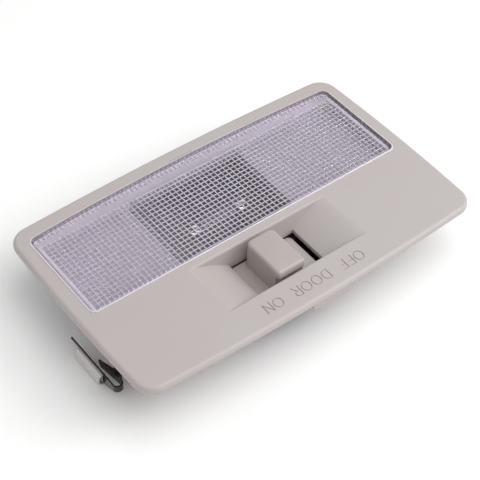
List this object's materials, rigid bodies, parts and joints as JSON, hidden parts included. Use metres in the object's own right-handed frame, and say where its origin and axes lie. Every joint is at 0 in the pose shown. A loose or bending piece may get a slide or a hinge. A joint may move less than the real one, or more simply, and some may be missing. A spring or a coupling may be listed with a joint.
{
  "type": "car dome light",
  "caption": "Overhead cabin light: bowed face plate, long prismatic lens over a festoon bulb, slide switch in a scooped recess, spring clips and a plug socket behind.",
  "frame": {"origin": "on the flat back of the lamp body, under the middle of the face plate", "axes": "+Z out of the face and the lens, X along the long side, the switch on the -Y side and the lens on the +Y side"},
  "size_m": [0.1532, 0.093, 0.029],
  "materials": {
    "face_plastic": "fine moulded grain, warm light grey",
    "knob_plastic": "smooth satin, light grey",
    "lens_clear": "clear plastic with a faint lavender tint, small prisms inside",
    "pale_plastic": "satin, pale",
    "body_plastic": "moulded, dark grey",
    "slider_plastic": "moulded, black",
    "bulb_glass": "clear",
    "cap_metal": "nickel plated",
    "contact_brass": "stamped",
    "wire_metal": "drawn wire",
    "spring_steel": "bright rolled sheet",
    "screw_steel": "zinc plated"
  },
  "bodies": {
    "light": {"bezel": "face_plastic", "lens": "lens_clear", "reflector": "pale_plastic", "lamp_body": "body_plastic", "bulb_glass": "bulb_glass", "bulb_cap_left": "cap_metal", "bulb_cap_right": "cap_metal", "bulb_filament": "wire_metal", "feed_terminal": "contact_brass", "common_terminal": "contact_brass", "door_contact": "contact_brass", "ground_contact": "contact_brass", "spring_clip_left": "spring_steel", "spring_clip_right": "spring_steel", "clip_screws": "screw_steel", "body_screws": "screw_steel"},
    "switch": {"switch_knob": "knob_plastic", "slider_carriage": "slider_plastic", "moving_contact": "contact_brass", "detent_spring": "wire_metal", "detent_ball": "wire_metal"}
  },
  "joints": [
    {"name": "switch_slide", "type": "slide", "parent": "light", "child": "switch", "axis": [1, 0, 0], "range_m": [0, 0.005]}
  ]
}
